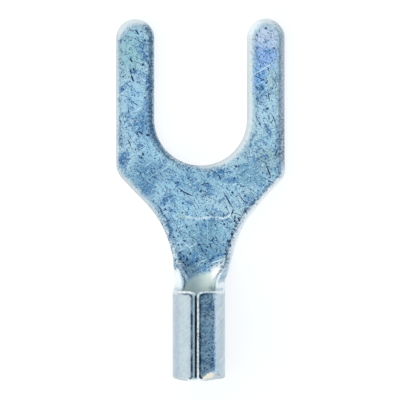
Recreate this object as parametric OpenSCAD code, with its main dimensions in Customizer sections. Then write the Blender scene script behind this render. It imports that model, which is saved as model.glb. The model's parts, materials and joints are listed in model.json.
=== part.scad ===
// Fork terminal for a 6 mm stud: one stamping of tin-plated copper sheet.
// The flat fork lies level, the shoulders draw in to a neck that dishes more and more,
// and behind it the two wings of the blank are rolled up until they butt along an open
// seam, while the floor between them stays level with the fork.
// The origin is the stud's centre on the underside of the fork, +Y points to the
// prong tips and the seam faces +Z.

/* [Sheet] */
// Thickness of the plated sheet
sheet_t = 0.7; // [0.55:0.05:0.9]
// Rounding that the die and the tumbling leave on each cut edge
edge_r = 0.25; // [0.05:0.05:0.25]

/* [Fork] */
// Overall length, from the prong tips to the wire mouth
overall_l = 25.5; // [24.5:0.1:30]
// Width across both prongs
fork_w = 12; // [11:0.5:14]
// Width of the stud slot
slot_w = 6.6; // [5.5:0.1:7.5]
// Depth of the stud slot, from the prong tips to its round end
slot_depth = 10.35; // [9:0.05:11]

/* [Shoulders and neck] */
// Distance from the prong tips to the shoulder corners
shoulder_l = 10.8; // [10.2:0.1:11.5]
// Angle of the shoulders to the length of the terminal
shoulder_angle = 43.5; // [40:0.5:50]
// Rounding of the shoulder corners
shoulder_r = 1.6; // [0.5:0.1:2.2]
// Width that the neck narrows to
neck_w = 3.9; // [3.2:0.1:4.4]
// Radius of the hollow curve that leads from each shoulder to the neck
neck_r = 8.4; // [7:0.1:9.5]

/* [Barrel] */
// Bore for the stripped wire
bore_d = 2.3; // [1.9:0.1:2.8]
// Length of the rolled barrel
barrel_l = 6.35; // [5.5:0.05:7]
// Gap between the wings along the seam, at half the sheet's thickness
seam_gap = 0.06; // [0.04:0.02:0.3]
// Length over which the flat neck curls up into the barrel
curl_l = 2.5; // [1.1:0.1:3]
// Distance in front of the wing ends at which the curl is complete
curl_lead = 0.25; // [0:0.05:0.6]
// Radius between the side of the neck and the end of each wing
wing_fillet_r = 0.9; // [0.6:0.1:1.6]
// Rounding of the wing corners, which opens a notch at the neck end of the seam
wing_corner_r = 0.45; // [0.3:0.05:0.6]

/* [Hidden] */
$fn = 64;

// Steps across the formed sheet, round each edge and along each curve of its outline
across_steps = 28;
edge_steps = 4;
curve_steps = 8;
corner_steps = 4;
// Depth that the formed sheet reaches into the plain barrel, and its clearance inside that wall
lap_l = 0.1;
lap = 0.01;
// Rounding of the butted lips, as a share of the other edges' rounding
lip_share = 0.8;

slot_r = slot_w / 2;
prong_r = (fork_w - slot_w) / 4;
prong_x = slot_r + prong_r;
tip_y = slot_depth - slot_r;
tip_centre_y = tip_y - prong_r;
slot_rim = 2 * edge_r;

mouth_y = tip_y - overall_l;
barrel_y = mouth_y + barrel_l;
bore_r = bore_d / 2;
barrel_r = bore_r + sheet_t;
mid_r = bore_r + sheet_t / 2;
wing_u = PI * mid_r - seam_gap / 2;
plain_y = barrel_y - wing_corner_r - lap_l;
roll_y = barrel_y + curl_lead;

// Shoulder corner: its arc ends square to the side and to the sloping shoulder
shoulder_y = tip_y - shoulder_l;
corner_tangent = shoulder_r * tan(shoulder_angle / 2);
corner_centre = [fork_w / 2 - shoulder_r, shoulder_y + corner_tangent];

// Hollow neck curve, tangent to the shoulder
neck_x = neck_w / 2 + neck_r;
neck_y = shoulder_y - (neck_r * (1 - cos(shoulder_angle))
    + (fork_w - neck_w) / 2 * cos(shoulder_angle)) / sin(shoulder_angle);

// Wing fillet, tangent to the neck curve, or to a straight neck where that is longer
fillet_y = barrel_y + wing_fillet_r;
fillet_rise = max(fillet_y - neck_y, 0);
fillet_turn = asin(fillet_rise / (neck_r - wing_fillet_r));
fillet_x = neck_x - (neck_r - wing_fillet_r) * cos(fillet_turn);

function along(steps, from, to) = [for (i = [0:steps]) from + (to - from) * i / steps];
function ray(angle) = [cos(angle), sin(angle)];

// Right-hand outline of the blank, as [point, direction into the metal]. A hollow
// curve has its metal outside the arc, and a corner has it inside.
function hollow(centre, r, angles) = [for (a = angles) [centre + r * ray(a), ray(a)]];
function corner(centre, r, angles) = [for (a = angles) [centre + r * ray(a), -ray(a)]];

// Its flat part, from the stud line down to where the wing fillet starts
flat_outline = concat(
    [[[fork_w / 2, 0], [-1, 0]]],
    corner(corner_centre, shoulder_r, along(corner_steps, 0, -shoulder_angle)),
    hollow([neck_x, neck_y], neck_r, along(curve_steps, 180 - shoulder_angle, 180 - fillet_turn)),
    fillet_rise > 0 ? [] : hollow([fillet_x, fillet_y], wing_fillet_r, [180]));

// Its wing, out along the fillet, round the corner and on along the seam
fillet_angles = along(curve_steps, 180 - fillet_turn, 270);
wing_outline = concat(
    hollow([fillet_x, fillet_y], wing_fillet_r, [for (i = [1:curve_steps]) fillet_angles[i]]),
    corner([wing_u - wing_corner_r, barrel_y - wing_corner_r], wing_corner_r, along(corner_steps, 90, 0)),
    [[[wing_u, plain_y - lap_l], [-1, 0]]]);

// How far the sheet is curled at a place along the length: 0 is flat, 1 is the full barrel
function curl(y) =
    let (s = min(max((roll_y + curl_l - y) / curl_l, 0), 1))
    s * s * (3 - 2 * s);

// A point of the blank after rolling: u across from the centre line, y along, and
// v out of the middle of the sheet towards the seam side
function rolled(u, y, v) =
    let (k = curl(y) / mid_r)
    k < 0.001 ? [u, y, sheet_t / 2 + v] :
    let (turn = u * k * 180 / PI)
    [(1 / k - v) * sin(turn), y, sheet_t / 2 + 1 / k - (1 / k - v) * cos(turn)];

// Rounded edge of the sheet, as [distance in from the outline, height from mid-sheet],
// to the micrometre, so that the pieces that share it meet point for point
function micron(length) = round(length * 1000) / 1000;
edge_profile = [for (a = along(edge_steps, 0, 90))
    [micron(edge_r * (1 - sin(a))), micron(sheet_t / 2 - edge_r * (1 - cos(a)))]];

// One ring of points round the sheet's section at a place on the outline. Each row
// bows from the outline to the centre line, which it crosses at centre_y.
function section(place, centre_y) =
    let (
        inner = place[0] + edge_r * place[1],
        face = function (side, s)
            let (y = centre_y + (inner.y - centre_y) * s * s, c = lap * curl(y))
            rolled(s * (inner.x - c), y, side * (sheet_t / 2 - c)),
        edge = function (side, end, k)
            let (p = place[0] + edge_profile[k].x * place[1], c = lap * curl(p.y))
            rolled(end * (p.x - c), p.y, side * (edge_profile[k].y - c)))
    concat(
        [for (s = along(across_steps, -1, 1)) face(1, s)],
        [for (k = [1:edge_steps]) edge(1, 1, k)],
        [for (k = [edge_steps:-1:1]) edge(-1, 1, k)],
        [for (s = along(across_steps, 1, -1)) face(-1, s)],
        [for (k = [1:edge_steps]) edge(-1, -1, k)],
        [for (k = [edge_steps:-1:1]) edge(1, -1, k)]);

// Shoulders, neck and curl in one lofted sheet, with the slot still uncut
module formed_sheet() {
    flat_n = len(flat_outline);
    wing_n = len(wing_outline);
    start_y = flat_outline[flat_n - 1][0].y;
    end_y = wing_outline[wing_n - 1][0].y;
    wing_y = along(wing_n, start_y, end_y);
    rings = concat(
        [for (place = flat_outline) section(place, (place[0] + edge_r * place[1]).y)],
        [for (j = [0:wing_n - 1]) section(wing_outline[j], wing_y[j + 1])]);
    ring_n = len(rings[0]);
    last = (len(rings) - 1) * ring_n;
    face_n = across_steps + 1;
    edge_n = 2 * edge_steps;
    walls = [for (j = [0:len(rings) - 2], i = [0:ring_n - 1])
        let (a = j * ring_n + i, b = j * ring_n + (i + 1) % ring_n)
        each [[a, b, b + ring_n], [a, b + ring_n, a + ring_n]]];
    // An end is closed across the thickness, pair by pair, and then at its two edges
    under = function (i) 2 * face_n + edge_n - 1 - i;
    cap = concat(
        [for (i = [0:across_steps - 1]) [i, under(i), under(i + 1), i + 1]],
        [[for (i = [face_n + edge_n:-1:face_n - 1]) i]],
        [concat([0], [for (i = [ring_n - 1:-1:ring_n - edge_n - 1]) i])]);
    far_cap = [for (f = cap) [for (i = [len(f) - 1:-1:0]) last + f[i]]];
    polyhedron(points = [for (r = rings) each r], faces = concat(walls, cap, far_cap));
}

// Strip of sheet from x = 0 to a rounded edge at x = w
module rounded_strip(w) {
    upper = [for (p = edge_profile) [w - p.x, sheet_t / 2 + p.y]];
    lower = [for (i = [edge_steps:-1:0]) [upper[i].x, sheet_t - upper[i].y]];
    polygon(concat([[0, 0], [0, sheet_t]], upper, lower));
}

// One prong: a rounded bar with a full round tip
module prong() {
    translate([prong_x, tip_centre_y, 0]) {
        rotate([90, 0, 0]) linear_extrude(tip_centre_y) {
            rounded_strip(prong_r);
            mirror([1, 0]) rounded_strip(prong_r);
        }
        rotate_extrude(angle = 180) rounded_strip(prong_r);
    }
}

// Rounded rim of the slot's round end
module slot_end() {
    rotate_extrude(angle = 180, start = 180)
        translate([slot_r + slot_rim, 0]) mirror([1, 0]) rounded_strip(slot_rim);
}

// Plain part of the barrel, with a rounded wire mouth and the open V of the seam
module wire_barrel() {
    lip = [for (p = edge_profile)
        let (
            turn = (wing_u - lip_share * p.x) / mid_r * 180 / PI,
            depth = lip_share * (sheet_t / 2 - p.y))
        (barrel_r - depth) * [sin(turn), -cos(turn)]];
    // The lip's first facet runs on out of the barrel, so that it cuts the wall cleanly
    right_side = concat([5 * lip[0] - 4 * lip[1]], [for (i = [1:edge_steps]) lip[i]]);
    left_side = [for (i = [edge_steps:-1:0]) [-right_side[i].x, right_side[i].y]];
    plain_l = plain_y - mouth_y;
    translate([0, 0, barrel_r]) difference() {
        translate([0, mouth_y, 0]) rotate([-90, 0, 0]) rotate_extrude()
            translate([bore_r, plain_l]) rotate(-90) rounded_strip(plain_l);
        translate([0, barrel_y, 0]) rotate([90, 0, 0]) linear_extrude(barrel_l + sheet_t)
            polygon(concat(right_side, [[0, 0]], left_side, [[0, 2 * barrel_r]]));
    }
}

module terminal() {
    color("lightsteelblue") {
        difference() {
            formed_sheet();
            translate([0, 0, -sheet_t]) cylinder(r = slot_r + slot_rim, h = 3 * sheet_t);
        }
        slot_end();
        prong();
        mirror([1, 0, 0]) prong();
        wire_barrel();
    }
}

terminal();
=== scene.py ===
import json
import math

import bpy
import numpy as np
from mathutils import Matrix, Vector
from mathutils.geometry import delaunay_2d_cdt
from mathutils.kdtree import KDTree


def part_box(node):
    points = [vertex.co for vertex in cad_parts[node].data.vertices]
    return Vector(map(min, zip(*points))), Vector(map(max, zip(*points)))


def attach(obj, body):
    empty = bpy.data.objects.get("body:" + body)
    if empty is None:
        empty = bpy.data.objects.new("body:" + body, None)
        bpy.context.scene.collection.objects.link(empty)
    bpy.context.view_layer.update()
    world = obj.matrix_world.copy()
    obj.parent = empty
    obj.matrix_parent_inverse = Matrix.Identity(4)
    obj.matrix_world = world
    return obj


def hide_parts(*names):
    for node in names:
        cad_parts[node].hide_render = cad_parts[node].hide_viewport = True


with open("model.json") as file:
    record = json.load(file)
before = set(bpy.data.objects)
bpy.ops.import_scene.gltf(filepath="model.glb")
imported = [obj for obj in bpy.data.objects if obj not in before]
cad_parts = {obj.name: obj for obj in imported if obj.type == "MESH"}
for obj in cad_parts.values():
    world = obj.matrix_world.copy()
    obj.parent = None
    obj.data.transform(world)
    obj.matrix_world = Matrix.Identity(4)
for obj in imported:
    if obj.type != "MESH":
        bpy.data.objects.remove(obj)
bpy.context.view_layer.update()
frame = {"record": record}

# Fork terminal
# One stamping of copper strip: two prongs round an open stud slot, sloping shoulders, a narrow neck,
# and two wings that a curling die rolls up until they butt along a seam. It is tin plated and tumbled
# last, which leaves every cut edge soft and bright. Lengths in this section are in millimetres.
METRES = 0.001
low, high = (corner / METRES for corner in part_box("terminal"))
mounts = {mount["name"]: mount for mount in frame["record"]["mounts"]}
sheet_t = mounts["screw_face"]["pos_m"][2] / METRES
bore_r = mounts["wire_barrel"]["dims"]["r_mm"]
fork_w = high.x - low.x
tip_y = high.y
mouth_y = low.y

slot_r = 3.3
prong_r = (fork_w / 2 - slot_r) / 2
shoulder_l = 10.8
shoulder_y = tip_y - shoulder_l
shoulder_angle = 43.5
shoulder_r = 1.6
neck_half = 1.95
neck_r = 8.4
barrel_l = 6.35
barrel_y = mouth_y + barrel_l
curl_l = 2.5
curl_lead = 0.25
mid_r = bore_r + sheet_t / 2
seam_gap = 0.06
wing_u = math.pi * mid_r - seam_gap / 2
wing_fillet_r = 0.9
wing_corner_r = 0.45
mouth_corner_r = 0.35

# The hollow of the neck runs tangent from the shoulder, and the wing's fillet tangent from the neck
slope = math.radians(shoulder_angle)
neck_x = neck_half + neck_r
neck_drop = neck_r * (1 - math.cos(slope)) + (fork_w / 2 - neck_half) * math.cos(slope)
neck_y = shoulder_y - neck_drop / math.sin(slope)
fillet_y = barrel_y + wing_fillet_r
fillet_reach = neck_r - wing_fillet_r
fillet_turn = math.degrees(math.asin((fillet_y - neck_y) / fillet_reach))
fillet_x = neck_x - fillet_reach * math.cos(math.radians(fillet_turn))
point_gap = 0.12


def arc(centre, radius, first, last, metal):
    """Points round an arc, each with its direction into the metal, which lies outside the arc where
    metal is 1 and inside it where metal is -1. The angles are in degrees."""
    steps = math.ceil(radius * abs(math.radians(last - first)) / point_gap)
    turn = np.radians(np.linspace(first, last, steps + 1))
    ray = np.column_stack([np.cos(turn), np.sin(turn)])
    return np.hstack([np.array(centre) + radius * ray, metal * ray])


# Outline of the flat blank: its right half from the bottom of the slot to the mouth, then the left
right_half = np.vstack([
    arc((0, 0), slot_r, -90, 0, 1),
    arc((slot_r + prong_r, tip_y - prong_r), prong_r, 180, 0, -1),
    arc((fork_w / 2 - shoulder_r, shoulder_y + shoulder_r * math.tan(slope / 2)), shoulder_r,
        0, -shoulder_angle, -1),
    arc((neck_x, neck_y), neck_r, 180 - shoulder_angle, 180 - fillet_turn, 1)[:-1],
    arc((fillet_x, fillet_y), wing_fillet_r, 180 - fillet_turn, 270, 1),
    arc((wing_u - wing_corner_r, barrel_y - wing_corner_r), wing_corner_r, 90, 0, -1),
    arc((wing_u - mouth_corner_r, mouth_y + mouth_corner_r), mouth_corner_r, 0, -90, -1),
])
corners = np.vstack([right_half, (right_half * [-1, 1, -1, 1])[:0:-1]])
outline = []
for here, there in zip(corners, np.roll(corners, -1, axis=0)):
    steps = max(1, round(math.dist(here[:2], there[:2]) / point_gap))
    outline += [here + (there - here) * step / steps for step in range(steps)]
outline = np.array(outline)


def smooth(value, start, end):
    """0 up to start and 1 from end on, with a soft change between them."""
    share = np.clip((value - start) / (end - start), 0, 1)
    return share * share * (3 - 2 * share)


# Section of the cut edge, from the upper face round to the lower one: how far in from the outline,
# how far from mid-sheet, and the way that it faces, outwards and upwards
edge_in = 0.42
edge_down = 0.3
round_steps = 6
edge_turn = np.linspace(0, math.pi / 2, round_steps + 1)
upper_half = np.column_stack([
    edge_in * (1 - np.sin(edge_turn)),
    sheet_t / 2 - edge_down * (1 - np.cos(edge_turn)),
    edge_down * np.sin(edge_turn),
    edge_in * np.cos(edge_turn),
])
edge_section = np.vstack([upper_half, upper_half[::-1] * [1, -1, 1, -1]])

# Where the right side has been struck, its upper edge is a rough bevel instead
struck_section = edge_section.copy()
struck_section[:round_steps + 1] = [
    (0.42, 0.35, 0, 1),
    (0.39, 0.345, 0.4, 1),
    (0.35, 0.32, 0.9, 1),
    (0.25, 0.22, 1, 1),
    (0.15, 0.12, 1, 1),
    (0.05, 0.04, 1, 0.7),
    (0, -0.03, 1, 0),
]

# On the prong tips and the slot's right side it is worn to a long soft roll
soft_section = edge_section.copy()
worn_share = 1 - upper_half[:, 0] / edge_in
roll_power = 2.5
soft_section[:round_steps + 1, 1] = sheet_t / 2 - edge_down * worn_share ** roll_power
soft_section[:round_steps + 1, 2] = roll_power * edge_down / edge_in * worn_share ** (roll_power - 1)
soft_section[:round_steps + 1, 3] = 1

# Places along the outline, each as a share from 0 to 1
on_right = np.where(outline[:, 0] > 0, 1, 0) * smooth(-outline[:, 2], 0.1, 0.6)
on_left = np.where(outline[:, 0] < 0, 1, 0)
in_slot = on_left * smooth(outline[:, 1], -4.5, -3.6) * smooth(outline[:, 0], -4.2, -3.4)
at_tip = smooth(outline[:, 1], tip_y - 1.8, tip_y - 0.6)
on_slot = smooth(outline[:, 2], 0.1, 0.6) * (1 - on_left) * smooth(outline[:, 1], -4.5, -3.6)
softened = np.clip(on_slot + at_tip * (1 - on_right) * (1 - in_slot), 0, 1)
struck = on_right * (0.35 + 0.65 * smooth(outline[:, 1], -3, -5)) * smooth(outline[:, 1], -11.5, -10.5)

# The blows have spread the right shoulder's edge outwards a little and left it narrower, and the right
# prong's outer edge lies a little further in. In the roll every edge is rounded by half as much.
shoulder_push = 0.17
prong_pull = 0.05
roll_share = 0.5
on_shoulder = on_right * smooth(outline[:, 1], -3.2, -4.2) * smooth(outline[:, 1], -7.4, -5.8)
on_prong = on_right * smooth(outline[:, 1], -3.6, -2.8)
outline[:, :2] -= (shoulder_push * on_shoulder - prong_pull * on_prong)[:, None] * outline[:, 2:]
in_roll = smooth(outline[:, 1], -9.5, -11)
left_side = smooth(outline[:, 0], -5.6, -6)
spread = 1 - 0.35 * on_shoulder - roll_share * in_roll - 0.4 * left_side * (1 - softened) + 0.4 * softened

# The two faces are filled with evenly spread points, clear of the rounded edge
face_rim = outline[:, :2] + edge_in * spread[:, None] * outline[:, 2:]
face_gap = 0.12
row_gap = face_gap * math.sqrt(3) / 2
rim_tree = KDTree(len(face_rim))
for index, point in enumerate(face_rim):
    rim_tree.insert((*point, 0), index)
rim_tree.balance()

# The forming die's edge has left a shallow crease across the neck, which gets rows of points of its own
crease_y = -7


def crease_line(x):
    """Where the forming die's edge has marked the neck, as a height along the terminal."""
    ends = 0.6 * np.clip(x - 1.35, 0, None) ** 2 + 0.35 * np.clip(-0.5 - x, 0, None) ** 2
    return crease_y + ends + 0.03 * np.sin(2.6 * x) + 0.02 * np.sin(7.1 * x + 1)


crease_half = 0.14
crease_mid = 0.18
crease_reach = 2.25
crease_ends = (-1.95, 2.3)
crease_rows = np.linspace(-1.5, 1.5, 7) * crease_half
face_points = [(x, crease_line(x) + row)
               for x in np.arange(*crease_ends, face_gap * 0.8) for row in crease_rows]
for row, y in enumerate(np.arange(mouth_y, tip_y, row_gap)):
    for x in np.arange(-fork_w / 2, fork_w / 2, face_gap) + face_gap / 2 * (row % 2):
        rim_point, index, _ = rim_tree.find((x, y, 0))
        depth = (x - rim_point.x) * outline[index, 2] + (y - rim_point.y) * outline[index, 3]
        near_crease = abs(x - crease_mid) < crease_reach and abs(y - crease_line(x)) < 2 * crease_half
        if depth > face_gap / 2 and not near_crease:
            face_points.append((x, y))
face_points = np.array(face_points)

flat = [Vector(point) for point in np.vstack([face_rim, face_points])]
face_fill = delaunay_2d_cdt(flat, [], [list(range(len(face_rim)))], 1, 1e-6)
source = [found[0] for found in face_fill[3]]
triangles = np.array([[source[corner] for corner in face] for face in face_fill[2]])

# How worn, bare and nicked the edge is along the outline, and how much painted shade it gets
in_neck = on_left * smooth(outline[:, 1], -6, -7.5) * smooth(outline[:, 1], -11, -10.2)
wear_share = 1 - in_slot - 0.85 * in_neck + 0.3 * at_tip + 0.1 * on_slot + 0.3 * on_prong
in_trough = in_roll * smooth(outline[:, 1], barrel_y - 0.6, barrel_y)
on_lip = in_roll * smooth(np.abs(outline[:, 0]), 4, 4.4)
bare_share = np.clip(struck + in_trough + 0.4 * at_tip + 0.4 * on_slot + on_lip, 0, 1)
nick_share = 0.15 * on_prong + 0.6 * on_shoulder + 0.2 * in_slot + 0.35 * in_neck
nick_share += on_right * smooth(outline[:, 1], -5.8, -7.4)
nick_share *= smooth(outline[:, 1], -11.5, -10.5)
# Painted shade on the slot's left wall and the right prong's outer edge, which face the dark right
edge_shade_share = on_prong * (0.4 + 0.4 * smooth(outline[:, 1], 1.5, -1.5)) + 0.5 * in_slot
edge_kinds = np.column_stack([wear_share, bare_share, nick_share, edge_shade_share])

# Every point as it lay in the blank: across, along and out from mid-sheet, the way that it faces, and
# the marks on it: how near the cut edge it lies, and that edge's shares
wear_reach = 0.75
rim_n = len(outline)
face_n = len(face_points)
blank = []
facing = []
edge_marks = []
for plain, bevel, soft in zip(edge_section, struck_section, soft_section):
    changed = (bevel - plain)[:, None] * struck + (soft - plain)[:, None] * softened
    inset, height, outwards, upwards = plain[:, None] + changed
    edge_line = outline[:, :2] + (inset * spread)[:, None] * outline[:, 2:]
    dropped = height + np.sign(height) * (sheet_t / 2 - abs(height)) * roll_share * in_roll
    blank.append(np.column_stack([edge_line, dropped]))
    steepness = outwards * (1 - roll_share * in_roll) / spread
    facing.append(np.column_stack([-steepness[:, None] * outline[:, 2:], upwards]))
    edge_marks.append(np.column_stack([1 - inset / wear_reach, edge_kinds]))
rim_found = [rim_tree.find((x, y, 0)) for x, y in face_points]
rim_index = [found[1] for found in rim_found]
rim_depth = np.array([found[2] for found in rim_found]) + edge_in
face_reach = np.clip(1 - rim_depth / wear_reach, 0, 1)
for side in (1, -1):
    blank.append(np.column_stack([face_points, np.full(face_n, side * sheet_t / 2)]))
    facing.append(np.tile([0, 0, side], (face_n, 1)))
    edge_marks.append(np.column_stack([face_reach, edge_kinds[rim_index]]))
blank = np.vstack(blank)
facing = np.vstack(facing)
edge_marks = np.vstack(edge_marks)

# The neck dishes more and more until the sheet is rolled up, just in front of the wings. The dies have
# also pressed in the crease, pushed neck and barrel a little to the right, and drawn in the mouth, most
# at its sides, and the right of the mouth is worn to a bevel.
roll_y = barrel_y + curl_lead
neck_drift = 0.14
barrel_drift = 0.05
crease_deep = 0.055
mouth_draw = 0.04
mouth_side_draw = 0.17
mouth_bevel_l = 0.65
mouth_bevel_slope = 0.6


def rolled(points):
    """Points of the blank where the dies leave them."""
    across, along, out = points.T
    off_line = np.abs(along - crease_line(across)) / crease_half
    crease_depth = crease_deep * np.clip(1 - off_line, 0, 1) * smooth(np.abs(across - crease_mid), 2.1, 1.6)
    crease_depth *= 0.4 + 0.6 * smooth(across, -0.8, 0.4)
    bevel_l = mouth_bevel_l * smooth(across, 4.7, 3.85) * smooth(across, 2.8, 3.5)
    bevel_depth = mouth_bevel_slope * np.clip(mouth_y + bevel_l - along, 0, None)
    upper_share = 0.5 + out / sheet_t
    out = out - upper_share * crease_depth + (1 - upper_share) * bevel_depth
    curl = smooth(along, roll_y + curl_l, roll_y)
    bend_r = mid_r / np.maximum(curl, 1e-6)
    turn = across / bend_r
    drift = neck_drift * smooth(along, -5, -7.5) + (barrel_drift - neck_drift) * smooth(along, -10, -12)
    pull = mouth_draw + mouth_side_draw * np.sin(across / mid_r) ** 2
    pull *= smooth(along, mouth_y + 2, mouth_y)
    return np.column_stack([
        (bend_r - out) * np.sin(turn) + drift,
        along + pull,
        sheet_t / 2 + bend_r - (bend_r - out) * np.cos(turn),
    ])


# Rolling carries each facing along with the sheet around it
nudge = 0.01
by_across, by_along, by_out = (
    rolled(blank + nudge * axis) - rolled(blank - nudge * axis) for axis in np.eye(3))
normals = (facing[:, :1] * np.cross(by_along, by_out)
           + facing[:, 1:2] * np.cross(by_out, by_across)
           + facing[:, 2:] * np.cross(by_across, by_along))
normals /= np.linalg.norm(normals, axis=1)[:, None]

# Faces: a band of quads for each step of the edge's section, then the upper and the lower face
levels = len(edge_section)
faces = []
for level in range(levels - 1):
    for here in range(rim_n):
        there = (here + 1) % rim_n
        upper_ring = level * rim_n
        lower_ring = upper_ring + rim_n
        faces.append((upper_ring + here, upper_ring + there, lower_ring + there, lower_ring + here))
inner = levels * rim_n - rim_n
upper_face = np.where(triangles < rim_n, triangles, triangles + inner)
lower_face = np.where(triangles < rim_n, triangles + inner, triangles + inner + face_n)
faces += [tuple(face) for face in upper_face.tolist()]
faces += [tuple(face[::-1]) for face in lower_face.tolist()]

mesh = bpy.data.meshes.new("fork_terminal")
mesh.from_pydata((rolled(blank) * METRES).tolist(), [], faces)
mesh.shade_smooth()
mesh.normals_split_custom_set_from_vertices(normals.tolist())
mesh.attributes.new("blank_mm", "FLOAT_VECTOR", "POINT").data.foreach_set("vector", blank.ravel())
line_mid = 0.5
past_crease = smooth(np.abs(blank[:, 0] - line_mid), 1.8, 2.1) + np.where(blank[:, 2] < 0, 1, 0)
from_crease = np.abs(blank[:, 1] - crease_line(blank[:, 0])) + 5 * past_crease
edge_values = dict(zip(("edge_reach", "wear", "bared", "nicked", "edge_shade"), edge_marks.T))
edge_values["from_crease"] = from_crease
for name, values in edge_values.items():
    mesh.attributes.new(name, "FLOAT", "POINT").data.foreach_set("value", np.ascontiguousarray(values))
terminal = bpy.data.objects.new("fork_terminal", mesh)
bpy.context.scene.collection.objects.link(terminal)
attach(terminal, "root")
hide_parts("terminal")


def linear(colour):
    """Linear colour of an sRGB hex value."""
    shares = [int(colour[place:place + 2], 16) / 255 for place in (1, 3, 5)]
    return [s / 12.92 if s <= 0.04045 else ((s + 0.055) / 1.055) ** 2.4 for s in shares] + [1]


def add(tree, kind, inputs, **settings):
    """Adds a node with its settings. Each input is a value or the output that it links to."""
    made = tree.nodes.new(kind)
    for name, value in settings.items():
        setattr(made, name, value)
    for name, value in inputs.items():
        if isinstance(value, bpy.types.NodeSocket):
            tree.links.new(value, made.inputs[name])
        else:
            made.inputs[name].default_value = value
    return made


# Tin plate
# A few micrometres of tin over copper, tumbled with the rest of the batch: a cool mirror that scuffs
# have broken up. Its colour is blue-grey on the face, part tarnish and part a painted reflection of the
# cool ceiling, and paler where it was rolled and where the edges are worn.
tin = bpy.data.materials.new("tumbled_tin_plate")
tin.use_nodes = True
tree = tin.node_tree
tree.nodes.clear()
FACTOR, FIRST, SECOND, MIXED = 0, 6, 7, 2
lie = add(tree, "ShaderNodeAttribute", {}, attribute_name="blank_mm")
lie = lie.outputs["Vector"]
part = add(tree, "ShaderNodeSeparateXYZ", {0: lie})
across = part.outputs["X"]
along = part.outputs["Y"]
out = part.outputs["Z"]

# Tarnish drifts between blue and grey over a few millimetres; its blue is partly a painted reflection of
# the cool ceiling
cloud_mm = 2.6
cloud = add(tree, "ShaderNodeTexNoise", {"Vector": lie, "Scale": 1 / cloud_mm, "Detail": 3})
share = add(tree, "ShaderNodeMapRange", {"Value": cloud.outputs["Fac"], "From Min": 0.36, "From Max": 0.64})
tarnish_and_reflection = add(tree, "ShaderNodeMix", {FACTOR: share.outputs[0], FIRST: linear("#BEDAE8"),
                                      SECOND: linear("#D6E5E7")}, data_type="RGBA")
colour = tarnish_and_reflection.outputs[MIXED]

# Soft stains with ragged borders: place, half width, half length and tint. Each keeps to its own side of
# the sheet, so its depth is less than the sheet's.
mark_depth = 0.3
ripple_mm = 0.8
ripple = add(tree, "ShaderNodeTexNoise", {"Vector": lie, "Scale": 1 / ripple_mm, "Detail": 2})
ripple = add(tree, "ShaderNodeVectorMath", {0: ripple.outputs["Color"], 1: (0.5, 0.5, 0.5)},
             operation="SUBTRACT")
ragged = add(tree, "ShaderNodeVectorMath", {0: ripple.outputs[0], 1: (1.2, 1.2, 0), 2: lie},
             operation="MULTIPLY_ADD")
curved = add(tree, "ShaderNodeVectorMath", {0: ripple.outputs[0], 1: (0.3, 0.3, 0), 2: lie},
             operation="MULTIPLY_ADD")
stains = (
    (4.7, 5.6, 1.3, 1.3, "#EAE6F2"),
    (4.5, 4.2, 1.0, 1.2, "#B4C8F0"),
    (4.1, 2.7, 0.7, 1.1, "#A2C8F0"),
    (5.1, 2.3, 0.6, 1.2, "#D0DEDE"),
    (4.8, -2.9, 0.8, 1.0, "#B6CACB"),
    (4.6, 0.6, 1.0, 2.0, "#D4E6EC"),
    (-3.8, -3.8, 1.5, 1.2, "#90B2C6"),
    (3.5, -3.9, 1.3, 1.0, "#A2C2D0"),
    (0.2, -7.9, 1.8, 0.8, "#A0C2D0"),
    (-1.4, -7, 0.5, 0.25, "#CCDAD2"),
    (-4.8, 1.6, 0.8, 1.6, "#C4DEEC"),
    (5.7, -1.7, 0.3, 2.0, "#7E97B4"),
    (-4.1, -0.2, 0.7, 1.1, "#8FB0CC"),
    (-3.6, -5.1, 0.6, 0.5, "#8AACC8"),
    (-4.9, 4.6, 1.2, 1.6, "#B8D4D4"),
    (-1.4, -9.8, 0.45, 0.65, "#86A4C0"),
    (-2.3, -7.9, 0.2, 1.2, "#7090B0"),
    (-3.75, 1.3, 0.35, 1.5, "#92B0CC"),
    (-5.55, -2.85, 0.35, 0.5, "#6C8CB4"),
    (0.2, -9.4, 1.8, 1.5, "#90B0C0"),
    (0, -4.7, 1.8, 0.9, "#AECAD8"),
)
for x, y, half_w, half_l, tint in stains:
    spot = add(tree, "ShaderNodeMapping", {"Vector": ragged.outputs[0], "Location": (x, y, sheet_t / 2),
                                           "Scale": (half_w, half_l, mark_depth)}, vector_type="TEXTURE")
    reach = add(tree, "ShaderNodeVectorMath", {0: spot.outputs[0]}, operation="LENGTH")
    share = add(tree, "ShaderNodeMapRange", {"Value": reach.outputs["Value"], "From Min": 1.3,
                                             "From Max": 0.3}, interpolation_type="SMOOTHSTEP")
    stained = add(tree, "ShaderNodeMix", {FACTOR: share.outputs[0], FIRST: colour, SECOND: linear(tint)},
                  data_type="RGBA")
    colour = stained.outputs[MIXED]

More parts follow.
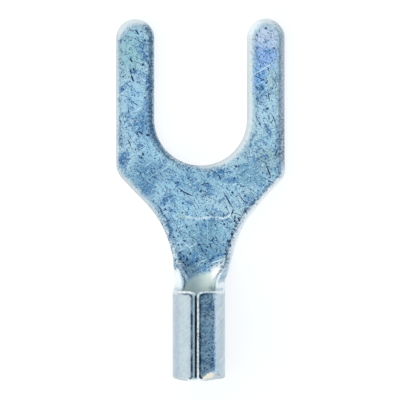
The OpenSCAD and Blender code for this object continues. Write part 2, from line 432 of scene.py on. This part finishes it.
# Patches under a millimetre across, painted a deeper blue, partly rubbed plate and partly a patchy painted
# reflection of the cool ceiling. A few places are rubbed less: place, half width, half length and change.
patch_mm = 0.7
patch = add(tree, "ShaderNodeTexNoise", {"Vector": curved.outputs[0], "Scale": 1 / patch_mm, "Detail": 4,
                                         "Roughness": 0.6})
rub = patch.outputs["Fac"]
rubs = (
    (-5.6, 4.4, 0.6, 0.8, -0.15),
    (-5.6, 3.1, 0.6, 0.7, -0.15),
    (3.9, 4.4, 0.5, 1.7, -0.12),
    (4.7, 6.2, 1.2, 0.7, -0.15),
    (-4.7, 6.0, 1.2, 0.6, -0.08),
)
for x, y, half_w, half_l, change in rubs:
    spot = add(tree, "ShaderNodeMapping", {"Vector": curved.outputs[0], "Location": (x, y, sheet_t / 2),
                                           "Scale": (half_w, half_l, mark_depth)}, vector_type="TEXTURE")
    reach = add(tree, "ShaderNodeVectorMath", {0: spot.outputs[0]}, operation="LENGTH")
    share = add(tree, "ShaderNodeMapRange", {"Value": reach.outputs["Value"], "From Min": 1.3,
                                             "From Max": 0.5, "To Max": change},
                interpolation_type="SMOOTHSTEP")
    rub = add(tree, "ShaderNodeMath", {0: rub, 1: share.outputs[0]}, operation="ADD").outputs[0]
share = add(tree, "ShaderNodeMapRange", {"Value": rub, "From Min": 0.5, "From Max": 0.66})
rubbed_and_reflection = add(tree, "ShaderNodeMix", {FACTOR: share.outputs[0], FIRST: colour, SECOND: linear("#6B98BC")},
             data_type="RGBA")
colour = rubbed_and_reflection.outputs[MIXED]

# Fine mottling of the tumbled tin
mottle_mm = 0.12
mottle = add(tree, "ShaderNodeTexNoise", {"Vector": lie, "Scale": 1 / mottle_mm, "Detail": 1})
fork_share = add(tree, "ShaderNodeMapRange", {"Value": along, "From Min": -8.5, "From Max": -6, "To Min": 0.3,
                                              "To Max": 0.8})
zone = add(tree, "ShaderNodeMapRange", {"Value": rub, "From Min": 0.42, "From Max": 0.6,
                                        "To Min": 0.1, "To Max": fork_share.outputs[0]})
share = add(tree, "ShaderNodeMapRange", {"Value": mottle.outputs["Fac"], "From Min": 0.52, "From Max": 0.64,
                                         "To Max": zone.outputs[0]})
mottled = add(tree, "ShaderNodeMix", {FACTOR: share.outputs[0], FIRST: colour, SECOND: linear("#3F68A0")},
              data_type="RGBA")
colour = mottled.outputs[MIXED]

# Scuffs: streaks of noise at several slants, with painted shade where they are cut in and a painted
# highlight where they are raised: slant, length, width, how rare they are and tint. Real ones are a
# hundredth of a millimetre wide, and these are drawn as wide as a picture can show.
navy = "#2A4674"
silver = "#F4F8F8"
scuffs_shaded_and_glinting = (
    (22, 0.34, 0.065, 0.67, navy),
    (-38, 0.32, 0.065, 0.67, navy),
    (75, 0.3, 0.065, 0.67, navy),
    (-65, 0.42, 0.065, 0.66, navy),
    (48, 0.22, 0.06, 0.68, silver),
    (-15, 0.22, 0.06, 0.68, silver),
    (-30, 1.6, 0.06, 0.675, navy),
    (-62, 1.8, 0.06, 0.675, navy),
    (35, 1.4, 0.06, 0.695, silver),
)
for slant, length, width, rare, tint in scuffs_shaded_and_glinting:
    streak = add(tree, "ShaderNodeMapping", {"Vector": curved.outputs[0],
                                             "Rotation": (0, 0, math.radians(slant)),
                                             "Scale": (length, width, 1)}, vector_type="TEXTURE")
    streak = add(tree, "ShaderNodeTexNoise", {"Vector": streak.outputs[0], "Scale": 1, "Detail": 1})
    share = add(tree, "ShaderNodeMapRange", {"Value": streak.outputs["Fac"], "From Min": rare,
                                             "From Max": rare + 0.05})
    scuff_shade_and_glint = add(tree, "ShaderNodeMix", {FACTOR: share.outputs[0], FIRST: colour, SECOND: linear(tint)},
                  data_type="RGBA")
    colour = scuff_shade_and_glint.outputs[MIXED]

# Pits, one to each cell of a broken grid, with the palest cells left whole: cell, radius and chance.
# They too are drawn coarser than real ones.
neck_chance = add(tree, "ShaderNodeMapRange", {"Value": along, "From Min": -5.5, "From Max": -7.5,
                                               "To Max": 0.5})
pits = ((0.24, 0.038, 0.4), (0.32, 0.05, 0.45), (0.75, 0.08, 0.6), (0.36, 0.07, neck_chance.outputs[0]))
for pit_mm, pit_r, chance in pits:
    cell = add(tree, "ShaderNodeTexVoronoi", {"Vector": lie, "Scale": 1 / pit_mm})
    pitted = add(tree, "ShaderNodeMath", {0: cell.outputs["Color"], 1: chance}, operation="LESS_THAN")
    share = add(tree, "ShaderNodeMapRange", {"Value": cell.outputs["Distance"],
                                             "From Min": 1.4 * pit_r / pit_mm,
                                             "From Max": 0.7 * pit_r / pit_mm, "To Max": pitted.outputs[0]})
    pit = add(tree, "ShaderNodeMix", {FACTOR: share.outputs[0], FIRST: colour, SECOND: linear(navy)},
              data_type="RGBA")
    colour = pit.outputs[MIXED]

# A broken bright line along the forming die's crease across the neck is a painted reflection of the
# crease's slopes
crease = add(tree, "ShaderNodeAttribute", {}, attribute_name="from_crease")
fading = add(tree, "ShaderNodeMapRange", {"Value": across, "From Min": -1.4, "From Max": 0.3, "To Min": 0.65})
broken = add(tree, "ShaderNodeMapRange", {"Value": patch.outputs["Fac"], "From Min": 0.72, "From Max": 0.52,
                                          "To Max": fading.outputs[0]})
broken = add(tree, "ShaderNodeMapRange", {"Value": mottle.outputs["Fac"], "From Min": 0.66, "From Max": 0.52,
                                          "To Max": broken.outputs[0]})
share = add(tree, "ShaderNodeMapRange", {"Value": crease.outputs["Fac"], "From Min": 0.14, "From Max": 0.05,
                                         "To Max": broken.outputs[0]})
line = add(tree, "ShaderNodeMix", {FACTOR: share.outputs[0], FIRST: colour, SECOND: linear(silver)},
           data_type="RGBA")
colour = line.outputs[MIXED]

# Single marks: place, side of the sheet, length, width, slant and tint
dark = "#22365C"
light = "#F6FAFA"
faint = "#BCD2DE"
marks = (
    (-4.9, 4.14, 1, 0.4, 0.13, -60, dark),
    (-4.92, 3.34, 1, 0.4, 0.12, -75, dark),
    (-4.81, 2.86, 1, 0.6, 0.15, -70, dark),
    (-4.73, 3.5, 1, 0.3, 0.11, -70, dark),
    (2.98, -5.69, 1, 0.7, 0.07, -52, dark),
    (5.38, -2.44, 1, 0.5, 0.12, -110, dark),
    (1.38, -4.09, 1, 0.45, 0.12, -65, dark),
    (0.89, -3.7, 1, 0.85, 0.07, -30, dark),
    (0.35, -4.6, 1, 0.7, 0.08, 10, dark),
    (-1.36, -5.02, 1, 0.6, 0.07, -35, dark),
    (-3.7, -1.15, 1, 0.3, 0.2, 0, dark),
    (-4.2, -1, 1, 0.45, 0.12, -35, dark),
    (4.87, 1.55, 1, 0.7, 0.09, -80, dark),
    (4.77, 0.69, 1, 0.22, 0.16, 30, dark),
    (-4.45, 6.1, 1, 0.45, 0.13, -57, dark),
    (1.96, -5.73, 1, 1.4, 0.11, -63, dark),
    (-0.94, -5.27, 1, 0.95, 0.11, -26, dark),
    (4.85, -3.68, 1, 0.9, 0.11, -68, dark),
    (1.8, -9.6, 1, 1.0, 0.14, -95, dark),
    (2.15, -8.5, 1, 1.3, 0.14, -112, dark),
    (2.2, -6.6, 1, 0.45, 0.12, 60, dark),
    (2.35, -6.95, 1, 0.3, 0.12, 80, dark),
    (-1.04, -7.59, 1, 0.15, 0.15, 0, dark),
    (-0.4, -7.48, 1, 0.15, 0.15, 0, dark),
    (0.41, -9.06, 1, 0.16, 0.14, 0, dark),
    (0.24, -10.23, 1, 0.16, 0.16, 0, dark),
    (0.78, -10.34, 1, 0.14, 0.14, 0, dark),
    (-0.83, -9.49, 1, 0.14, 0.14, 0, dark),
    (-1.99, -8.37, 1, 0.16, 0.14, 0, dark),
    (-1.55, -9.45, 1, 0.17, 0.15, 0, dark),
    (-1.32, -9.7, 1, 0.16, 0.16, 0, dark),
    (-1.6, -9.9, 1, 0.2, 0.15, 60, dark),
    (-1.38, -10.15, 1, 0.16, 0.14, 0, dark),
    (-1.1, -9.95, 1, 0.14, 0.14, 0, dark),
    (-4.06, -2.48, 1, 0.15, 0.2, 0, dark),
    (4.47, 3.49, 1, 1.9, 0.07, 32, light),
    (1.15, -10.03, 1, 0.9, 0.08, 20, light),
    (0.4, -7.95, 1, 1.7, 0.06, -90, faint),
    (-1, -7.85, 1, 1.1, 0.06, -90, faint),
    (-0.5, -7.8, 1, 1.2, 0.06, -90, faint),
    (-0.22, -7.9, 1, 0.9, 0.06, -90, faint),
    (0.07, -10.03, 1, 0.6, 0.06, 28, light),
    (-1.1, -8.9, 1, 0.6, 0.06, -45, light),
    (-0.65, -8.95, 1, 0.7, 0.06, 32, light),
    # A painted highlight: the large light mark on the trough's right wall
    (1.4, -11.2, 1, 1.8, 1.2, -75, light),
    (3.75, mouth_y + 0.25, -1, 1.6, 0.7, 0, "#F4EBD6"),
)
for x, y, side, length, width, slant, tint in marks:
    mark = add(tree, "ShaderNodeMapping", {"Vector": lie, "Location": (x, y, side * sheet_t / 2),
                                           "Rotation": (0, 0, math.radians(slant)),
                                           "Scale": (length / 2, width / 2, mark_depth)},
               vector_type="TEXTURE")
    reach = add(tree, "ShaderNodeVectorMath", {0: mark.outputs[0]}, operation="LENGTH")
    share = add(tree, "ShaderNodeMapRange", {"Value": reach.outputs["Value"], "From Min": 1.2,
                                             "From Max": 0.6})
    marked = add(tree, "ShaderNodeMix", {FACTOR: share.outputs[0], FIRST: colour, SECOND: linear(tint)},
                 data_type="RGBA")
    colour = marked.outputs[MIXED]

# The dies have burnished the outside of the barrel, but left scuffs on a strip of the right wing beside
# the seam. The strip's border is given as a place across the blank.
strip_from = 3.48
strip_to = 3.66
outside = add(tree, "ShaderNodeMapRange", {"Value": out, "From Min": -0.1, "From Max": -0.3})
rolled_part = add(tree, "ShaderNodeMapRange", {"Value": along, "From Min": barrel_y + 1.2,
                                               "From Max": barrel_y + 0.2, "To Max": outside.outputs[0]})
polish = add(tree, "ShaderNodeMapRange", {"Value": across, "From Min": strip_from, "From Max": strip_to,
                                          "To Min": 0.88, "To Max": 0.1})
share = add(tree, "ShaderNodeMath", {0: rolled_part.outputs[0], 1: polish.outputs[0]}, operation="MULTIPLY")
drawn = add(tree, "ShaderNodeMapping", {"Vector": lie, "Rotation": (0, 0, math.radians(-40)),
                                        "Scale": (1.6, 0.25, 1)}, vector_type="TEXTURE")
drawn = add(tree, "ShaderNodeTexNoise", {"Vector": drawn.outputs[0], "Scale": 1, "Detail": 0})
right_wing = add(tree, "ShaderNodeMapRange", {"Value": across, "To Min": 0.2})
drawn = add(tree, "ShaderNodeMapRange", {"Value": drawn.outputs["Fac"], "From Min": 0.36, "From Max": 0.64,
                                         "To Max": right_wing.outputs[0]})
drawn = add(tree, "ShaderNodeMix", {FACTOR: drawn.outputs[0], FIRST: linear("#B7C5CE"),
                                    SECOND: linear("#C6D1D8")}, data_type="RGBA")
burnished = add(tree, "ShaderNodeMix", {FACTOR: share.outputs[0], FIRST: colour,
                                        SECOND: drawn.outputs[MIXED]}, data_type="RGBA")
colour = burnished.outputs[MIXED]

# Tumbling has worn the edges, with dark nicks at the inner border of the wear on the right
grain_mm = 0.17
grain = add(tree, "ShaderNodeTexNoise", {"Vector": lie, "Scale": 1 / grain_mm, "Detail": 2})
nick_mm = 0.14
nick = add(tree, "ShaderNodeTexNoise", {"Vector": lie, "Scale": 1 / nick_mm, "Detail": 1})
edge = {name: add(tree, "ShaderNodeAttribute", {}, attribute_name=name).outputs["Fac"]
        for name in ("edge_reach", "wear", "bared", "nicked", "edge_shade")}
wear = add(tree, "ShaderNodeMath", {0: edge["edge_reach"], 1: edge["wear"]}, operation="MULTIPLY")
wear = wear.outputs[0]
border = add(tree, "ShaderNodeMapRange", {"Value": edge["edge_reach"], "From Min": 0.1, "From Max": 0.36,
                                          "To Max": edge["nicked"]})
share = add(tree, "ShaderNodeMapRange", {"Value": nick.outputs["Fac"], "From Min": 0.46, "From Max": 0.53,
                                         "To Max": border.outputs[0]})
nicked = add(tree, "ShaderNodeMix", {FACTOR: share.outputs[0], FIRST: colour, SECOND: linear(dark)},
             data_type="RGBA")
colour = nicked.outputs[MIXED]
rough_wear = add(tree, "ShaderNodeMath", {0: grain.outputs["Fac"], 1: 1.2, 2: wear}, operation="MULTIPLY_ADD")
share = add(tree, "ShaderNodeMapRange", {"Value": rough_wear.outputs[0], "From Min": 0.98, "From Max": 1.42})
bright = add(tree, "ShaderNodeMix", {FACTOR: edge["bared"], FIRST: linear("#C4CED4"),
                                     SECOND: linear("#F0F6F8")}, data_type="RGBA")
worn = add(tree, "ShaderNodeMix", {FACTOR: share.outputs[0], FIRST: colour, SECOND: bright.outputs[MIXED]},
           data_type="RGBA")
colour = worn.outputs[MIXED]

# The slot's left wall and the right prong's outer edge face the dark right and get painted shade
rough_reach = add(tree, "ShaderNodeMath", {0: nick.outputs["Fac"], 1: 0.8, 2: edge["edge_reach"]},
                  operation="MULTIPLY_ADD")
share = add(tree, "ShaderNodeMapRange", {"Value": rough_reach.outputs[0], "From Min": 0.95, "From Max": 1.25,
                                         "To Max": edge["edge_shade"]})
edge_shaded = add(tree, "ShaderNodeMix", {FACTOR: share.outputs[0], FIRST: colour, SECOND: linear("#8698AC")},
           data_type="RGBA")
colour = edge_shaded.outputs[MIXED]

# Those edges are speckled, and so is the scuffed strip of the right wing
beside_seam = add(tree, "ShaderNodeMapRange", {"Value": across, "From Min": strip_from, "From Max": strip_to,
                                               "To Max": rolled_part.outputs[0]})
off_mouth = add(tree, "ShaderNodeMapRange", {"Value": along, "From Min": mouth_y + 0.5,
                                             "From Max": mouth_y + 0.8, "To Max": beside_seam.outputs[0]})
on_edge = add(tree, "ShaderNodeMapRange", {"Value": edge["edge_reach"], "From Min": 0.1, "From Max": 0.35,
                                           "To Max": edge["edge_shade"]})
speckle_zone = add(tree, "ShaderNodeMath", {0: off_mouth.outputs[0], 1: on_edge.outputs[0]},
                   operation="MAXIMUM")
for start, end, amount, tint in ((0.5, 0.62, 0.5, dark), (0.46, 0.36, 0.6, "#D4E4E4")):
    most = add(tree, "ShaderNodeMath", {0: speckle_zone.outputs[0], 1: amount}, operation="MULTIPLY")
    share = add(tree, "ShaderNodeMapRange", {"Value": nick.outputs["Fac"], "From Min": start, "From Max": end,
                                             "To Max": most.outputs[0]})
    speckled = add(tree, "ShaderNodeMix", {FACTOR: share.outputs[0], FIRST: colour, SECOND: linear(tint)},
                   data_type="RGBA")
    colour = speckled.outputs[MIXED]

# A dark line along each lip, where it turns in, is a painted reflection of dark surroundings in its curve,
# and the seam is painted black as the shade of its gap
lip = add(tree, "ShaderNodeMath", {0: across}, operation="ABSOLUTE")
lip_reach = add(tree, "ShaderNodeMapRange", {"Value": along, "From Min": mouth_y + 0.4,
                                             "From Max": mouth_y + 0.8, "To Min": wing_u - 0.4,
                                             "To Max": wing_u - 1.4})
by_seam = add(tree, "ShaderNodeMapRange", {"Value": lip.outputs[0], "From Min": lip_reach.outputs[0],
                                           "From Max": wing_u - 0.3, "To Max": rolled_part.outputs[0]})
offset = add(tree, "ShaderNodeMath", {0: wear, 1: 0.48}, operation="SUBTRACT")
offset = add(tree, "ShaderNodeMath", {0: offset.outputs[0]}, operation="ABSOLUTE")
share = add(tree, "ShaderNodeMapRange", {"Value": offset.outputs[0], "From Min": 0.18, "From Max": 0.09,
                                         "To Max": by_seam.outputs[0]})
thin = add(tree, "ShaderNodeMapRange", {"Value": patch.outputs["Fac"], "From Min": 0.35, "From Max": 0.55,
                                        "To Min": 0.55})
share = add(tree, "ShaderNodeMath", {0: share.outputs[0], 1: thin.outputs[0]}, operation="MULTIPLY")
lip_reflection = add(tree, "ShaderNodeMix", {FACTOR: share.outputs[0], FIRST: colour, SECOND: linear("#303C52")},
            data_type="RGBA")
# Painted shade: the seam's gap is painted black
in_barrel = add(tree, "ShaderNodeMath", {0: along, 1: barrel_y}, operation="LESS_THAN")
share = add(tree, "ShaderNodeMapRange", {"Value": lip.outputs[0], "From Min": wing_u - 0.06,
                                         "From Max": wing_u - 0.02, "To Max": in_barrel.outputs[0]})
seam_shade = add(tree, "ShaderNodeMix", {FACTOR: share.outputs[0], FIRST: lip_reflection.outputs[MIXED],
                                     SECOND: linear("#121416")}, data_type="RGBA")
colour = seam_shade.outputs[MIXED]

# Inside the roll nothing has touched the plate, which keeps its pale matt grain
bow = add(tree, "ShaderNodeMath", {0: across, 1: across}, operation="MULTIPLY")
shade_line = add(tree, "ShaderNodeMath", {0: bow.outputs[0], 1: 0.2, 2: along}, operation="MULTIPLY_ADD")
shade_line = add(tree, "ShaderNodeMath", {0: across, 1: -0.2, 2: shade_line.outputs[0]},
                 operation="MULTIPLY_ADD")
off_wall = add(tree, "ShaderNodeMapRange", {"Value": across, "From Min": 1.4, "From Max": 0.7})
inside = add(tree, "ShaderNodeMapRange", {"Value": out, "From Min": 0.3, "From Max": 0.345,
                                          "To Max": off_wall.outputs[0]})
share = add(tree, "ShaderNodeMapRange", {"Value": shade_line.outputs[0], "From Min": -10.75,
                                         "From Max": -11.1, "To Max": inside.outputs[0]})
sheltered = share.outputs[0]
pale = add(tree, "ShaderNodeMix", {FACTOR: sheltered, FIRST: colour, SECOND: linear("#F0F6EE")},
           data_type="RGBA")
colour = pale.outputs[MIXED]
blurred = add(tree, "ShaderNodeMapRange", {"Value": wear, "To Min": 0.2, "To Max": 0.45})
gloss = add(tree, "ShaderNodeMapRange", {"Value": sheltered, "To Min": blurred.outputs[0], "To Max": 0.6})

# Grain of the tumbled face, deeper towards the edges
grain_deep = 0.015
beaten = add(tree, "ShaderNodeMapRange", {"Value": edge["edge_reach"], "From Min": 0.1, "From Max": 0.4,
                                          "To Min": 1, "To Max": 2.5})
grain_height = add(tree, "ShaderNodeMath", {0: grain.outputs["Fac"], 1: beaten.outputs[0]},
                   operation="MULTIPLY")
relief = add(tree, "ShaderNodeBump", {"Height": grain_height.outputs[0], "Distance": grain_deep * METRES})
shader = add(tree, "ShaderNodeBsdfPrincipled", {
    "Base Color": colour,
    "Metallic": 1,
    "Roughness": gloss.outputs[0],
    "Normal": relief.outputs[0],
})
add(tree, "ShaderNodeOutputMaterial", {"Surface": shader.outputs["BSDF"]})
mesh.materials.append(tin)

# Floor
# A plain white sheet under the terminal, wide enough to reach the tent's walls. It shows white to the
# camera and in the metal, and a share of diffuse white keeps the soft shadow.
floor_half = 2
floor_mesh = bpy.data.meshes.new("floor")
floor_clear = 0.01
floor_z = (low.z - floor_clear) * METRES
floor_mesh.from_pydata(
    [(x * floor_half, y * floor_half, floor_z) for x, y in ((-1, -1), (1, -1), (1, 1), (-1, 1))],
    [], [(0, 1, 2, 3)])
floor = bpy.data.objects.new("floor", floor_mesh)
bpy.context.scene.collection.objects.link(floor)
paper = bpy.data.materials.new("white_paper")
paper.use_nodes = True
tree = paper.node_tree
tree.nodes.clear()
path = add(tree, "ShaderNodeLightPath", {})
seen = add(tree, "ShaderNodeMath", {0: path.outputs["Is Camera Ray"], 1: path.outputs["Is Glossy Ray"]},
           operation="MAXIMUM")
seen = add(tree, "ShaderNodeMath", {0: seen.outputs[0], 1: path.outputs["Is Transmission Ray"]},
           operation="MAXIMUM")
glow = add(tree, "ShaderNodeEmission", {"Color": linear("#FFFFFF"), "Strength": 0.8})
matt = add(tree, "ShaderNodeBsdfDiffuse", {"Color": linear("#969696")})
both = add(tree, "ShaderNodeAddShader", {0: glow.outputs[0], 1: matt.outputs[0]})
shown = add(tree, "ShaderNodeMixShader", {0: seen.outputs[0], 1: matt.outputs[0], 2: both.outputs[0]})
add(tree, "ShaderNodeOutputMaterial", {"Surface": shown.outputs[0]})
floor_mesh.materials.append(paper)

# Light
# A white light tent, open above to a cool grey ceiling that is darker to the right. Its right wall is a
# little bluer than the others. Each step gives the angles from straight up between which it changes.
world = bpy.data.worlds.new("light_tent")
bpy.context.scene.world = world
world.use_nodes = True
tree = world.node_tree
tree.nodes.clear()
way = add(tree, "ShaderNodeTexCoord", {})
way = add(tree, "ShaderNodeSeparateXYZ", {0: way.outputs["Generated"]})
lean = add(tree, "ShaderNodeMath", {0: way.outputs["X"], 1: way.outputs["Z"]}, operation="ARCTAN2")
lean = add(tree, "ShaderNodeMath", {0: lean.outputs[0]}, operation="DEGREES")
tent_white = [1.2, 1.2, 1.18, 1]
tent_right = [1.02, 1.18, 1.36, 1]
ceiling = [0.66, 0.88, 1.0, 1]
ceiling_right = [0.28, 0.40, 0.51, 1]
colour = tent_white
for start, end, next_colour in ((-48, -18, ceiling), (1, 8, ceiling_right), (77, 83, tent_right)):
    share = add(tree, "ShaderNodeMapRange", {"Value": lean.outputs[0], "From Min": start, "From Max": end},
                interpolation_type="SMOOTHSTEP")
    mixed = add(tree, "ShaderNodeMix", {FACTOR: share.outputs[0], FIRST: colour, SECOND: next_colour},
                data_type="RGBA")
    colour = mixed.outputs[MIXED]
endwise = add(tree, "ShaderNodeMath", {0: way.outputs["Y"]}, operation="ABSOLUTE")
share = add(tree, "ShaderNodeMapRange", {"Value": endwise.outputs[0], "From Min": 0.62, "From Max": 0.88},
            interpolation_type="SMOOTHSTEP")
mixed = add(tree, "ShaderNodeMix", {FACTOR: share.outputs[0], FIRST: colour, SECOND: tent_white},
            data_type="RGBA")
tent_light = add(tree, "ShaderNodeBackground", {"Color": mixed.outputs[MIXED]})
add(tree, "ShaderNodeOutputWorld", {"Surface": tent_light.outputs[0]})

# Camera
# It looks down on the terminal, a little from the right, from an arm's length. The lens follows from the
# width of the frame at the fork's face.
view_distance = 300 * METRES
view_lean = math.radians(6.5)
frame_w = 28.2 * METRES
aim_drop = 12.78
aim = Vector((0, tip_y - aim_drop, sheet_t)) * METRES
camera_data = bpy.data.cameras.new("camera")
camera_data.sensor_width = 36
camera_data.lens = camera_data.sensor_width * view_distance / frame_w
camera_data.clip_start = view_distance / 100
camera = bpy.data.objects.new("camera", camera_data)
camera.location = aim + view_distance * Vector((math.sin(view_lean), 0, math.cos(view_lean)))
camera.rotation_euler = (0, view_lean, 0)
bpy.context.scene.collection.objects.link(camera)
bpy.context.scene.camera = camera
bpy.context.scene.view_settings.view_transform = "Standard"
